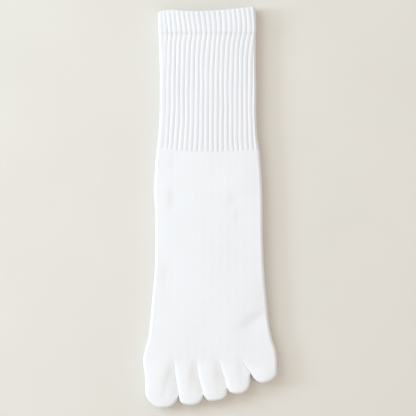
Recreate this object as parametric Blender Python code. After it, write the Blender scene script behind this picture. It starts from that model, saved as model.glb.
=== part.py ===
"""A left-foot toe sock lying flat with its instep up.

The sock is a knitted tube pressed flat: a doubled welt, a ribbed leg, a plain foot with a turned heel
let into its underside, and five toe pockets. Lengths run along Y, with the cuff at +Y and the toes
at -Y. Widths run along X, with the big toe at -X. The sock rests on Z = 0, and the Z axis passes
through the middle of its bounding box. All sizes are in metres.
"""

import math
from collections import namedtuple

import bmesh
import bpy
import numpy as np

# Lengths along the middle of the sock
welt_length = 0.0195
leg_length = 0.0985
foot_length = 0.1733
big_toe_length = 0.0410
heel_length = 0.0480

# Widths of the pressed tube, fold to fold
welt_width = 0.0810
leg_width = 0.0798
ankle_width = 0.0859
heel_width = 0.0905
instep_width = 0.0893
toe_line_width = 0.1116

# Heights at which the two layers lie
welt_height = 0.0102
leg_height = 0.0094
foot_height = 0.0090
toe_height = 0.0096
crown = 0.0008

# Knitted walls, measured over the ribs where there are any
welt_wall = 0.0026
rib_wall = 0.0022
plain_wall = 0.0016

# Ribs: pitch around the leg, depth of the valleys and the ridge's share of the pitch
rib_pitch = 0.00385
rib_depth = 0.0008
ridge_share = 0.56

# Seam lines: how far each one curves and tilts between the middle and the folds
seam_gap = 0.0003
rim_sag = 0.00235
rim_tilt = 0.00155
ankle_sag = 0.0028
ankle_tilt = -0.0006

# The leg lies a little to one side of the toes
cuff_shift = -0.0034

# Grooves that run up the foot from between the toes
groove_length = 0.0130
groove_breadth = 0.0034
groove_depth = 0.0016

# The underside between heel and fold
heel_margin = 0.0012

# Points around the foot and around a toe pocket, and the foot's rows
foot_points = 64
toe_points = 20
foot_rows = 15
groove_rows = 4
heel_points = 16

RIB_KNIT = (0.86, 0.87, 0.88, 1.0)
PLAIN_KNIT = (0.88, 0.89, 0.90, 1.0)
HEEL_KNIT = (0.84, 0.85, 0.86, 1.0)

# place: share of the welt's length, from the cuff's edge down
# bulge: share of the way from the leg's width to the welt's
# shift: share of the cuff's shift
WeltSection = namedtuple("WeltSection", "place bulge shift")
WELT_SECTIONS = (
    WeltSection(0.00, -1.50, 1.05),
    WeltSection(0.12, 0.10, 1.05),
    WeltSection(0.50, 1.00, 1.00),
    WeltSection(0.82, 0.25, 1.00),
    WeltSection(1.00, 0.05, 1.00),
)

# place: share of the leg's length, from the welt down
# flare: share of the way from the leg's width to the ankle's
# shift: share of the cuff's shift
LegSection = namedtuple("LegSection", "place flare shift")
LEG_SECTIONS = (
    LegSection(0.00, 0.00, 1.00),
    LegSection(0.05, -0.20, 0.98),
    LegSection(0.22, 0.00, 0.70),
    LegSection(0.50, 0.00, 0.60),
    LegSection(0.74, 0.10, 0.63),
    LegSection(0.87, 0.39, 0.68),
    LegSection(0.95, 0.77, 0.68),
    LegSection(1.00, 1.00, 0.68),
)

# place: share of the foot's length, from the ankle down
# ankle, heel, toes: shares of the way from the instep's width to each of those widths
# shift: share of the cuff's shift
FootSection = namedtuple("FootSection", "place ankle heel toes shift")
FOOT_SECTIONS = (
    FootSection(0.00, 1.00, 0.00, 0.00, 0.68),
    FootSection(0.05, 0.55, 0.05, 0.00, 0.62),
    FootSection(0.12, 0.10, 0.50, 0.00, 0.60),
    FootSection(0.19, 0.00, 1.00, 0.00, 0.62),
    FootSection(0.28, 0.00, 0.30, 0.00, 0.44),
    FootSection(0.43, 0.00, 0.00, 0.00, 0.40),
    FootSection(0.57, 0.00, 0.00, 0.08, 0.36),
    FootSection(0.72, 0.00, 0.00, 0.26, 0.28),
    FootSection(0.82, 0.00, 0.00, 0.43, 0.22),
    FootSection(0.865, 0.00, 0.00, 0.53, 0.15),
    FootSection(0.913, 0.00, 0.00, 0.69, 0.06),
    FootSection(0.960, 0.00, 0.00, 0.91, 0.00),
    FootSection(1.00, 0.00, 0.00, 1.00, 0.00),
)

# across: share of half the instep's width, from the middle
# along: share of the foot's length, from the ankle down
# length, breadth: half lengths as shares of the instep's width
# turn: angle of the dent's length from X in degrees
# depth: share of the foot's height
Dent = namedtuple("Dent", "across along length breadth turn depth")
DENTS = (
    Dent(-0.65, 0.06, 0.10, 0.045, 90, 0.05),
    Dent(-0.72, 0.22, 0.11, 0.060, 86, 0.09),
    Dent(0.55, 0.245, 0.10, 0.060, 60, 0.07),
    Dent(0.84, 0.80, 0.14, 0.045, 35, 0.11),
)

# root: share of the toe line's width, from the big toe's side
# lean: how far the crease runs sideways, as a share of the toe line's width
# depth: how far it runs down from the toe line, as a share of the big toe's length
Crease = namedtuple("Crease", "root lean depth")
CREASES = (
    Crease(0.000, 0.016, 0.60),
    Crease(0.249, 0.018, 0.76),
    Crease(0.405, 0.043, 0.71),
    Crease(0.572, 0.056, 0.55),
    Crease(0.740, 0.069, 0.28),
    Crease(1.000, 0.000, 0.25),
)

# length: share of the big toe's length
# shoulder: share of its own length at which the tip starts to round off
Toe = namedtuple("Toe", "name length shoulder")
TOES = (
    Toe("big_toe_pocket", 1.000, 0.67),
    Toe("second_toe_pocket", 0.930, 0.73),
    Toe("middle_toe_pocket", 0.844, 0.64),
    Toe("fourth_toe_pocket", 0.699, 0.62),
    Toe("little_toe_pocket", 0.473, 0.45),
)
SHOULDER_ROWS = (0.0, 0.4, 0.75, 1.0)
TIP_ANGLES = (30, 55, 75)
TIP_BLUNTNESS = 0.6
TIP_LIFT = 0.42

# Places along Y, worked out from the lengths
sock_length = welt_length + leg_length + foot_length + big_toe_length + rim_sag + abs(rim_tilt)
toe_line_y = big_toe_length - sock_length / 2
ankle_y = toe_line_y + foot_length
welt_y = ankle_y + leg_length
rim_y = welt_y + welt_length

# Lines across the sock where one stretch ends and the next one begins
Seam = namedtuple("Seam", "middle sag tilt gap")
RIM = Seam(rim_y, rim_sag, rim_tilt, 0.0)
WELT_SEAM = Seam(welt_y, 0.0, 0.0, seam_gap)
ANKLE_SEAM = Seam(ankle_y, ankle_sag, ankle_tilt, seam_gap)
TOE_LINE = Seam(toe_line_y, 0.0, 0.0, seam_gap)

# A stretch of the tube, with a width and a middle for each of its places
Stretch = namedtuple("Stretch", "top end places widths middles height")


def column(table, name):
    """One column of a table as an array."""
    return np.array([getattr(row, name) for row in table])


def smooth_curve(knots, values, places):
    """Values at the places on cubic pieces that pass through the knots with even slopes."""
    slopes = np.gradient(values, knots)
    piece = np.clip(np.searchsorted(knots, places, side="right") - 1, 0, len(knots) - 2)
    span = knots[piece + 1] - knots[piece]
    t = (places - knots[piece]) / span
    start = values[piece] * (1 + 2 * t) * (1 - t) ** 2 + slopes[piece] * span * t * (1 - t) ** 2
    end = values[piece + 1] * t * t * (3 - 2 * t) - slopes[piece + 1] * span * t * t * (1 - t)
    return start + end


def seam_line(seam, lateral):
    """Y of a seam at lateral places from -1 at one fold to 1 at the other."""
    return seam.middle + seam.sag * lateral ** 2 + seam.tilt * lateral


def pressed_ring(shares, width, height, insets):
    """Points around a pressed tube: two level faces joined by half-round folds.

    The shares run once around, from the fold at -X over the top and back underneath. Each point is
    drawn in from the outline by its inset. Returns X from the middle, Z, and the lateral place.
    """
    fold = height / 2
    level = width - height
    quarter = math.pi * fold / 2
    half_way = 2 * quarter + level
    upper = shares <= 0.5
    travel = np.where(upper, shares, 1 - shares) * 2 * half_way
    rising = np.clip(travel / fold, 0, math.pi / 2)
    falling = np.clip((travel - quarter - level) / fold, 0, math.pi / 2)
    facing_x = np.sin(falling) - np.cos(rising)
    facing_z = np.sin(rising) * np.cos(falling) * np.where(upper, 1, -1)
    outline_x = np.clip(travel - quarter, 0, level) - level / 2 + fold * facing_x
    x = outline_x - insets * facing_x
    z = fold + (fold - insets) * facing_z
    return x, z, outline_x / (width / 2)


def crease_x(crease, depth):
    """X of a crease between toes at a depth below the toe line: a lean, then straight down."""
    run = np.minimum(1.0, depth / (crease.depth * big_toe_length))
    return (crease.root - 0.5 + crease.lean * run) * toe_line_width


def relief(x, y):
    """How far the upper layer is pushed down by the dents and by the grooves between the toes."""
    down = np.zeros_like(x)
    for dent in DENTS:
        turn = math.radians(dent.turn)
        from_x = x - dent.across * instep_width / 2
        from_y = y - (ankle_y - dent.along * foot_length)
        along = from_x * math.cos(turn) + from_y * math.sin(turn)
        across = from_y * math.cos(turn) - from_x * math.sin(turn)
        reach = (along / (dent.length * instep_width)) ** 2
        reach = reach + (across / (dent.breadth * instep_width)) ** 2
        down = down + dent.depth * foot_height * np.exp(-reach)
    fade = np.clip(1 - (y - toe_line_y) / groove_length, 0, 1)
    for crease in CREASES[1:-1]:
        across = (x - crease_x(crease, 0.0)) / groove_breadth
        down = down + groove_depth * fade ** 2 * np.exp(-across ** 2)
    return down


def tube_skin(stretch, shares, insets):
    """Rows of ring points on one skin of a stretch, from its top seam to its end seam."""
    rows = []
    for place, width, middle in zip(stretch.places, stretch.widths, stretch.middles):
        x, z, lateral = pressed_ring(shares, width, stretch.height, insets)
        top = seam_line(stretch.top, lateral) - stretch.top.gap / 2
        end = seam_line(stretch.end, lateral) + stretch.end.gap / 2
        y = top + place * (end - top)
        x = x + middle
        rise = crown * (1 - lateral ** 2) - relief(x, y)
        rows.append(np.column_stack((x, y, z + rise * z / stretch.height)))
    return np.array(rows)


def even_shares(count):
    """Shares of the way around a ring for evenly spaced points."""
    return np.arange(count) / count


def rib_points():
    """Shares and insets for the outer skin of the ribs: a valley point and a ridge of two points."""
    girth = 2 * (leg_width - leg_height) + math.pi * leg_height
    rib_count = 2 * round(girth / (2 * rib_pitch))
    phases = np.array((0.0, 0.5 - ridge_share / 2, 0.5 + ridge_share / 2))
    shares = (np.arange(rib_count)[:, None] + phases) / rib_count
    return shares.ravel(), np.tile((rib_depth, 0.0, 0.0), rib_count), rib_count


def add_skin(mesh, rows):
    """Adds one skin's points and the quads between its rings, and returns its rings."""
    rings = [[mesh.verts.new(point) for point in row] for row in rows]
    for upper, lower in zip(rings, rings[1:]):
        for i in range(len(upper)):
            j = (i + 1) % len(upper)
            mesh.faces.new((upper[i], upper[j], lower[j], lower[i]))
    return rings


def add_rim(mesh, outer, inner):
    """Closes the wall at an open end. Each inner side faces a whole number of outer ones."""
    step = len(outer) // len(inner)
    for i in range(len(inner)):
        j = (i + 1) % len(inner)
        outside = [outer[(i * step + k) % len(outer)] for k in range(step + 1)]
        mesh.faces.new([inner[j], inner[i]] + outside)


def add_tip(mesh, ring, point):
    """Closes a skin's last ring with a fan to a point."""
    tip = mesh.verts.new(point)
    for i in range(len(ring)):
        mesh.faces.new((ring[i], ring[(i + 1) % len(ring)], tip))


def add_object(name, mesh, material, collection):
    """Makes an object from a bmesh, with its faces outwards and its round parts smooth."""
    bmesh.ops.recalc_face_normals(mesh, faces=mesh.faces)
    data = bpy.data.meshes.new(name)
    mesh.to_mesh(data)
    mesh.free()
    data.shade_smooth()
    data.set_sharp_from_angle(angle=math.radians(50))
    if material:
        data.materials.append(material)
    body = bpy.data.objects.new(name, data)
    collection.objects.link(body)
    return body


def knit_material(name, colour):
    """Matt cotton knit."""
    material = bpy.data.materials.new(name)
    material.use_nodes = True
    shader = material.node_tree.nodes["Principled BSDF"]
    shader.inputs["Base Color"].default_value = colour
    shader.inputs["Roughness"].default_value = 0.92
    shader.inputs["Metallic"].default_value = 0.0
    material.diffuse_color = colour
    return material


def open_tube(name, stretch, outer_points, inner_points, colour, collection):
    """A stretch of the sock, open at both ends. The points are pairs of shares and insets."""
    mesh = bmesh.new()
    outer = add_skin(mesh, tube_skin(stretch, *outer_points))
    inner = add_skin(mesh, tube_skin(stretch, *inner_points))
    add_rim(mesh, outer[0], inner[0])
    add_rim(mesh, outer[-1], inner[-1])
    return add_object(name, mesh, knit_material(name + "_knit", colour), collection)


def welt(collection):
    """The doubled band at the cuff, ribbed like the leg and a little thicker."""
    widths = leg_width + column(WELT_SECTIONS, "bulge") * (welt_width - leg_width)
    middles = column(WELT_SECTIONS, "shift") * cuff_shift
    places = column(WELT_SECTIONS, "place")
    stretch = Stretch(RIM, WELT_SEAM, places, widths, middles, welt_height)
    shares, insets, rib_count = rib_points()
    inner_points = (even_shares(rib_count), welt_wall)
    return open_tube("welt", stretch, (shares, insets), inner_points, RIB_KNIT, collection)


def ribbed_leg(collection):
    """The rib-knit leg, which flares to the ankle."""
    widths = leg_width + column(LEG_SECTIONS, "flare") * (ankle_width - leg_width)
    middles = column(LEG_SECTIONS, "shift") * cuff_shift
    places = column(LEG_SECTIONS, "place")
    stretch = Stretch(WELT_SEAM, ANKLE_SEAM, places, widths, middles, leg_height)
    shares, insets, rib_count = rib_points()
    inner_points = (even_shares(rib_count), rib_wall)
    return open_tube("ribbed_leg", stretch, (shares, insets), inner_points, RIB_KNIT, collection)


def foot_stretch():
    """The plain foot, with closer rows where the grooves between the toes run up into it."""
    table_places = column(FOOT_SECTIONS, "place")
    groove_start = 1 - groove_length / foot_length
    places = np.linspace(0, groove_start, foot_rows)
    places = np.append(places, np.linspace(groove_start, 1, groove_rows + 1)[1:])
    table_widths = np.full(len(FOOT_SECTIONS), instep_width)
    for name, width in (("ankle", ankle_width), ("heel", heel_width), ("toes", toe_line_width)):
        table_widths = table_widths + column(FOOT_SECTIONS, name) * (width - instep_width)
    widths = smooth_curve(table_places, table_widths, places)
    middles = smooth_curve(table_places, column(FOOT_SECTIONS, "shift") * cuff_shift, places)
    return Stretch(ANKLE_SEAM, TOE_LINE, places, widths, middles, foot_height)


def heel_prism(name, inward, low, high, material, collection):
    """A heel-shaped block: a lens between two arcs whose corners point at the folds.

    It lies under the middle of the heel's width, drawn in on all sides by at least the inward gap.
    """
    stretch = foot_stretch()
    half_along = heel_length / 2
    heel_y = ankle_y - half_along - heel_margin
    heel_x = np.interp((ankle_y - heel_y) / foot_length, stretch.places, stretch.middles)
    half_across = (ankle_width - foot_height) / 2 - heel_margin
    slant = math.hypot(1, 2 * half_along / half_across)
    half_across = half_across - inward * slant
    half_along = half_along - inward * slant
    sweep = np.linspace(-1, 1, heel_points + 1)[:-1]
    front = [(x, -(1 - x * x)) for x in sweep]
    back = [(-x, 1 - x * x) for x in sweep]
    mesh = bmesh.new()
    outline = [
        mesh.verts.new((heel_x + x * half_across, heel_y + y * half_along, low))
        for x, y in front + back
    ]
    face = mesh.faces.new(outline)
    raised = bmesh.ops.extrude_face_region(mesh, geom=[face])
    corners = [item for item in raised["geom"] if isinstance(item, bmesh.types.BMVert)]
    bmesh.ops.translate(mesh, verts=corners, vec=(0, 0, high - low))
    return add_object(name, mesh, material, collection)


def foot(collection, cutters):
    """The plain-knit foot, open at both ends, with the heel's place cut out of its underside."""
    points = (even_shares(foot_points), 0.0)
    inner_points = (even_shares(foot_points // 2), plain_wall)
    body = open_tube("foot", foot_stretch(), points, inner_points, PLAIN_KNIT, collection)
    cutter = heel_prism("heel_opening", 0.0, -plain_wall, 2 * plain_wall, None, cutters)
    cutter.hide_render = True
    cutter.display_type = "WIRE"
    cut = body.modifiers.new("heel_opening", "BOOLEAN")
    cut.operation = "DIFFERENCE"
    cut.solver = "EXACT"
    cut.object = cutter
    return body


def heel(collection):
    """The turned heel, pressed flat into the underside of the foot."""
    material = knit_material("heel_knit", HEEL_KNIT)
    return heel_prism("heel", seam_gap, 0.0, plain_wall, material, collection)


def pocket_skin(toe, left, right, inset):
    """Rows of ring points on one skin of a toe pocket, and its closing point.

    The pocket fills the space between its two creases, less half a seam gap at each. From its
    shoulder on, its width falls as a quarter ellipse and its height a little later.
    """
    length = toe.length * big_toe_length
    shoulder = toe.shoulder * length
    angles = np.radians(TIP_ANGLES)
    depths = np.append(np.array(SHOULDER_ROWS) * shoulder,
                       shoulder + np.sin(angles) * (length - inset - shoulder))
    narrowing = np.append(np.ones(len(SHOULDER_ROWS)), np.cos(angles))
    depths[0] = seam_gap / 2
    side_gap = seam_gap / 2 + inset
    left_x = crease_x(left, depths) + side_gap
    right_x = crease_x(right, depths) - side_gap
    inner_height = toe_height - 2 * inset
    rows = []
    for depth, start, end, narrow in zip(depths, left_x, right_x, narrowing):
        height = inner_height * narrow ** TIP_BLUNTNESS
        x, z, _ = pressed_ring(even_shares(toe_points), (end - start) * narrow, height, 0.0)
        low = inset + (inner_height - height) * TIP_LIFT
        y = np.full_like(x, toe_line_y - depth)
        rows.append(np.column_stack((x + (start + end) / 2, y, z + low)))
    middle = (left_x[-1] + right_x[-1]) / 2
    tip = (middle, toe_line_y - length + inset, inset + inner_height * TIP_LIFT)
    return np.array(rows), tip


def toe_pocket(toe, left, right, collection):
    """A knitted toe pocket, closed at its tip and open to the foot."""
    mesh = bmesh.new()
    outer_rows, outer_tip = pocket_skin(toe, left, right, 0.0)
    inner_rows, inner_tip = pocket_skin(toe, left, right, plain_wall)
    outer = add_skin(mesh, outer_rows)
    inner = add_skin(mesh, inner_rows)
    add_rim(mesh, outer[0], inner[0])
    add_tip(mesh, outer[-1], outer_tip)
    add_tip(mesh, inner[-1], inner_tip)
    return add_object(toe.name, mesh, knit_material(toe.name + "_knit", PLAIN_KNIT), collection)


def main():
    """Clears the scene and builds the sock."""
    for old in list(bpy.data.objects):
        bpy.data.objects.remove(old, do_unlink=True)
    sock = bpy.data.collections.new("toe_sock")
    cutters = bpy.data.collections.new("cutters")
    bpy.context.scene.collection.children.link(sock)
    bpy.context.scene.collection.children.link(cutters)
    welt(sock)
    ribbed_leg(sock)
    foot(sock, cutters)
    heel(sock)
    for toe, left, right in zip(TOES, CREASES, CREASES[1:]):
        toe_pocket(toe, left, right, sock)


main()
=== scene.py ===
"""Dresses the toe sock: knitted surfaces in place of the frame's plain solids, on a pale floor.

Shapes are worked out in millimetres, in the frame's own axes: lengths run along Y with the cuff at +Y,
widths along X with the big toe at -X, and the sock lies on Z = 0. Each surface is a grid of points,
rows along the sock and columns once around it, and becomes metres only when its mesh is made.
The studio around it is given in metres.
"""

from __future__ import annotations

import logging
import math
from dataclasses import dataclass
from enum import Enum

import bpy
import numpy as np
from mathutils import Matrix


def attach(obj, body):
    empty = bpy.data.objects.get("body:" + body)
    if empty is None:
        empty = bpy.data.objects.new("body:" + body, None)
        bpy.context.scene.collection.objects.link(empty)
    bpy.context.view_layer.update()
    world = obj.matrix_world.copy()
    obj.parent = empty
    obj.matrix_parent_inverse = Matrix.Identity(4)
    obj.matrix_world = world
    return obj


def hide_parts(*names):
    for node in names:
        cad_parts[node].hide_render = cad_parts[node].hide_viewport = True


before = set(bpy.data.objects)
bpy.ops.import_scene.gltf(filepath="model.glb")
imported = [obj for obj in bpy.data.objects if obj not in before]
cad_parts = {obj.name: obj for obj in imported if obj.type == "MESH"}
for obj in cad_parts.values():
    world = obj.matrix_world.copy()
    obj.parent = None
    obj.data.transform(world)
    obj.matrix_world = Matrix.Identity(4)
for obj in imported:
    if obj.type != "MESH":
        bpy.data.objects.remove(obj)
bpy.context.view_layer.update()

LOG = logging.getLogger("toe_sock")
MM = 0.001
# The exponent at which a superellipse is a plain ellipse
ELLIPSE = 2.0


class Ends(Enum):
    """How the first and last rows of a grid are closed."""

    JOINED = "the last row meets the first one, as on a tube with a wall"
    POLES = "each end is drawn to a point, as on a pocket with a wall"


@dataclass(frozen=True)
class Edge:
    """Where the two folds of the flat sock lie at one place along it, in millimetres."""

    y: float
    left: float
    right: float


@dataclass(frozen=True)
class SeamLine:
    """A line across the sock at one place along it: how far it sags and tilts, in millimetres."""

    y: float
    sag: float
    tilt: float


@dataclass(frozen=True)
class RimWave:
    """A bell curve along the rim: its X, its reach and its height, in millimetres."""

    x: float
    reach: float
    height: float


@dataclass(frozen=True)
class Turn:
    """How many ribs the cuff is turned by at one place along it, and how far its middle ribs spread."""

    y: float
    turned: float
    spread: float


@dataclass(frozen=True)
class SlowWave:
    """A slow wave over the upper layer: its height, its lengths over X and Y, and its phase."""

    height: float
    across: float
    along: float
    phase: float


@dataclass(frozen=True)
class Dent:
    """A soft dip in the upper layer, over an ellipse turned by some degrees, in millimetres.

    It is a bell curve, and on its lower right it is so many times as broad as on its upper left.
    """

    x: float
    y: float
    length: float
    breadth: float
    turn: float
    depth: float
    run_off: float = 3.0


@dataclass(frozen=True)
class Crease:
    """The line between two toes: it leans sideways by lean over depth, more and more by its bend."""

    root: float
    lean: float
    depth: float
    bend: float


@dataclass(frozen=True)
class Toe:
    """A toe pocket: its node, its length, where its tip starts to round, the tip's shape, its height.

    The apex is the X of the tip's end, and each side has its own roundness from the shoulder on.
    """

    node: str
    length: float
    shoulder: float
    apex: float
    left_round: float
    right_round: float
    height: float


RIM_Y, WELT_Y, ANKLE_Y, TOE_Y = 164.2, 144.7, 46.2, -127.1

# Where the photograph shows both folds, from the cuff to past the toe line
OUTLINE = (
    Edge(168.5, -42.6, 38.5),
    Edge(164.0, -43.1, 39.0),
    Edge(157.0, -43.2, 39.4),
    Edge(140.0, -42.5, 39.2),
    Edge(131.0, -42.1, 39.0),
    Edge(98.0, -41.6, 39.4),
    Edge(72.0, -42.1, 39.6),
    Edge(58.0, -43.2, 40.5),
    Edge(48.0, -44.4, 42.0),
    Edge(39.0, -45.2, 42.8),
    Edge(26.0, -45.9, 43.7),
    Edge(14.0, -46.6, 44.3),
    Edge(4.0, -46.0, 44.5),
    Edge(-28.0, -45.4, 44.9),
    Edge(-47.0, -45.6, 45.6),
    Edge(-78.0, -48.1, 48.0),
    Edge(-96.0, -49.7, 49.8),
    Edge(-111.0, -51.6, 52.8),
    Edge(-119.0, -53.9, 55.4),
    Edge(-127.0, -55.5, 56.6),
    Edge(-141.0, -54.2, 56.6),
    Edge(-155.0, -53.7, 56.5),
    Edge(-170.0, -53.7, 56.5),
)


def smooth_through(knots: np.ndarray, values: np.ndarray, places: np.ndarray) -> np.ndarray:
    """Values at the places on cubic pieces through the knots, whose slopes are even at each knot.

    Args:
        knots: rising places where the values are known.
        values: the known values.
        places: where values are wanted, in any shape.
    Returns:
        One value for each place.
    """
    slopes = np.gradient(values, knots)
    piece = np.clip(np.searchsorted(knots, places, side="right") - 1, 0, len(knots) - 2)
    span = knots[piece + 1] - knots[piece]
    t = np.clip((places - knots[piece]) / span, 0, 1)
    start = values[piece] * (1 + 2 * t) * (1 - t) ** 2 + slopes[piece] * span * t * (1 - t) ** 2
    end = values[piece + 1] * t * t * (3 - 2 * t) - slopes[piece + 1] * span * t * t * (1 - t)
    return start + end


def smooth_step(t: np.ndarray) -> np.ndarray:
    """A rise from 0 to 1 with level ends: 3 t squared less 2 t cubed, with t held to 0..1."""
    held = np.clip(t, 0, 1)
    return held * held * (3 - 2 * held)


@dataclass(frozen=True)
class Outline:
    """The sock's plan: its folds and the curved lines that its rows follow."""

    edges: tuple[Edge, ...] = OUTLINE
    left_fold: float = 2.3
    right_fold: float = 2.3
    # The lower layer curls in from the fold this many times as far as the upper one
    curl: float = 1.9
    left_ease: float = 0.15
    ease_reach: float = 4.5
    crown: float = 0.8
    seams: tuple[SeamLine, ...] = (
        SeamLine(TOE_Y, 0.0, 0.0),
        SeamLine(ANKLE_Y, 2.8, -0.6),
        SeamLine(WELT_Y, 0.0, 0.0),
        SeamLine(RIM_Y, 2.35, 1.55),
    )
    # How far past the welt's seam the rim's waves begin
    rim_start: float = 4.0
    rim_waves: tuple[RimWave, ...] = (RimWave(-30.0, 6.5, 0.9), RimWave(-44.5, 4.5, -1.5))

    def fold(self, y: np.ndarray, side: str) -> np.ndarray:
        """X of one fold at places along the sock: a smooth curve through the outline's edges.

        Args:
            y: the places along the sock.
            side: left or right.
        Returns:
            One X for each place.
        """
        knots = np.array([edge.y for edge in self.edges])[::-1]
        values = np.array([getattr(edge, side) for edge in self.edges])[::-1]
        return smooth_through(knots, values, y)

    def line(self, rows: np.ndarray) -> tuple[np.ndarray, np.ndarray]:
        """Sag and tilt of the lines that the rows follow, eased between the sock's four seams.

        Args:
            rows: each row's place along the sock.
        Returns:
            The sags and the tilts, in the shape of the rows.
        """
        places = np.array([seam.y for seam in self.seams])
        sags = np.array([seam.sag for seam in self.seams])
        tilts = np.array([seam.tilt for seam in self.seams])
        piece = np.clip(np.searchsorted(places, rows, side="right") - 1, 0, len(places) - 2)
        t = smooth_step((rows - places[piece]) / (places[piece + 1] - places[piece]))
        sag = sags[piece] + (sags[piece + 1] - sags[piece]) * t
        tilt = tilts[piece] + (tilts[piece + 1] - tilts[piece]) * t
        return sag, tilt

    def ease(self, x: np.ndarray, left: np.ndarray) -> np.ndarray:
        """How far the upper layer slopes down towards the left fold: half a bell curve."""
        return self.left_ease * np.exp(-(((x - left - self.left_fold) / self.ease_reach) ** 2))

    def spans(self, rows: np.ndarray) -> tuple[np.ndarray, np.ndarray]:
        """X of both folds where each row's line meets them."""
        sag, tilt = self.line(rows)
        return self.fold(rows + sag - tilt, "left"), self.fold(rows + sag + tilt, "right")

    def place_rows(self, rows: np.ndarray, x: np.ndarray) -> tuple[np.ndarray, np.ndarray]:
        """Y of points at x on each row's line, and their lateral places from -1 to 1.

        A row's line is a parabola: its sag times the lateral place squared, plus its tilt times it.
        Near the rim, bell curves bend it once more: a low wave, and the rounded corner at the left.

        Args:
            rows: each row's place along the sock, as a column.
            x: the points' X, rows by columns.
        Returns:
            The points' Y and their lateral places, rows by columns.
        """
        left, right = self.spans(rows)
        sag, tilt = self.line(rows)
        lateral = (2 * x - left - right) / (right - left)
        rise = RIM_Y - WELT_Y - self.rim_start
        near_rim = smooth_step((rows - WELT_Y - self.rim_start) / rise)
        lift = sum(w.height * np.exp(-(((x - w.x) / w.reach) ** 2)) for w in self.rim_waves)
        return rows + sag * lateral**2 + tilt * lateral + near_rim * lift, lateral


def lip_rings(outer: np.ndarray, inner: np.ndarray, count: int, reach: float) -> np.ndarray:
    """A half-round lip from the inner ring to the outer one, standing out along +Y.

    Each point is the wall's middle, plus half the wall times the angle's cosine, plus the reach times
    its sine along Y.

    Args:
        outer: the outer skin's last ring.
        inner: the inner skin's last ring, with as many points.
        count: how many rings the lip has.
        reach: how far it stands out.
    Returns:
        The lip's rings, from the inner one to the outer one.
    """
    angles = np.linspace(math.pi, 0, count + 2)[1:-1]
    middle = (outer + inner) / 2
    half = (outer - inner) / 2
    rows = middle[None] + half[None] * np.cos(angles)[:, None, None]
    rows[..., 1] += reach * np.sin(angles)[:, None]
    return rows


def outward(grid: np.ndarray) -> np.ndarray:
    """Unit normals of a grid of rings, from the cross product of its two directions.

    Args:
        grid: rows by columns by 3. The columns close on themselves.
    Returns:
        Normals in the grid's shape, which point away from the rings' middles.
    """
    around = np.roll(grid, -1, axis=1) - np.roll(grid, 1, axis=1)
    along = np.gradient(grid, axis=0)
    normal = np.cross(around, along)
    normal /= np.linalg.norm(normal, axis=2, keepdims=True) + 1e-12
    centre = grid.mean(axis=1, keepdims=True)
    if np.sum(normal * (grid - centre)) < 0:
        normal = -normal
    return normal


def wale_course(
    grid: np.ndarray, shares: np.ndarray, height: float, middle: int, start: np.ndarray, knit: Knit
) -> np.ndarray:
    """Wale and course numbers of each point, with one column more than the grid where it closes.

    The wale number is the distance around over the wale's width, measured on a plain tube without
    dents, so the wales run straight along the sock. The course number is the distance along the
    middle column over the course's height.

    Args:
        grid: the rings.
        shares: each column's share of the way from the lower layer to the upper one.
        height: the plain tube's height.
        middle: the column that runs along the middle of the upper layer.
        start: the distance that counts as the middle column's, for each row.
        knit: the knit whose stitches are counted.
    Returns:
        Rows by columns + 1 by 2.
    """
    x = grid[..., 0]
    flat = np.stack(np.broadcast_arrays(x, shares * height), axis=2)
    closed = np.concatenate((flat, flat[:, :1]), axis=1)
    steps = np.linalg.norm(np.diff(closed, axis=1), axis=2)
    around = np.concatenate((np.zeros((len(x), 1)), np.cumsum(steps, axis=1)), axis=1)
    around = around - around[:, middle : middle + 1] + start[:, None]
    courses = distance_along(grid, middle)[:, None] / knit.course
    return np.stack(np.broadcast_arrays(around / knit.wale, courses), axis=2)


def distance_along(grid: np.ndarray, middle: int) -> np.ndarray:
    """Distance from the first row to each row, measured down one column."""
    strides = np.linalg.norm(np.diff(grid[:, middle], axis=0), axis=1)
    return np.concatenate(((0.0,), np.cumsum(strides)))


@dataclass(frozen=True)
class Faces:
    """Faces in flat lists: each corner's point and stitch numbers, and each face's corner count."""

    points: np.ndarray
    stitches: np.ndarray
    sizes: np.ndarray

    @property
    def starts(self) -> np.ndarray:
        """The number of each face's first corner."""
        return np.concatenate(((0,), np.cumsum(self.sizes)[:-1]))


def joined(parts: list[Faces]) -> Faces:
    """Puts lists of faces after each other.

    Args:
        parts: the lists.
    Returns:
        One list.
    """
    return Faces(
        np.concatenate([part.points for part in parts]),
        np.concatenate([part.stitches for part in parts]),
        np.concatenate([part.sizes for part in parts]),
    )


def ring_faces(numbers: np.ndarray, stitches: np.ndarray, ends: Ends) -> Faces:
    """Quads between each ring and the next one.

    Args:
        numbers: each point's number, rows by columns.
        stitches: rows by columns + 1 by 2, the wale and course numbers.
        ends: whether the last ring meets the first one.
    Returns:
        The quads.
    """
    rows, columns = numbers.shape
    first = np.arange(rows if ends is Ends.JOINED else rows - 1)
    second = (first + 1) % rows
    left = np.arange(columns)
    right = (left + 1) % columns
    upper, lower = numbers[first], numbers[second]
    quads = np.stack((upper, upper[:, right], lower[:, right], lower), axis=2)
    near, far = stitches[first], stitches[second]
    if ends is Ends.JOINED:
        far[-1] = stitches[-1] + (0.0, 1.0)
    corners = np.stack((near[:, left], near[:, left + 1], far[:, left + 1], far[:, left]), axis=2)
    return Faces(quads.ravel(), corners.reshape(-1, 2), np.full(face_count(quads), 4))


def face_count(corners: np.ndarray) -> int:
    """How many faces a grid of corners holds."""
    return corners.size // corners.shape[-1]


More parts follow.
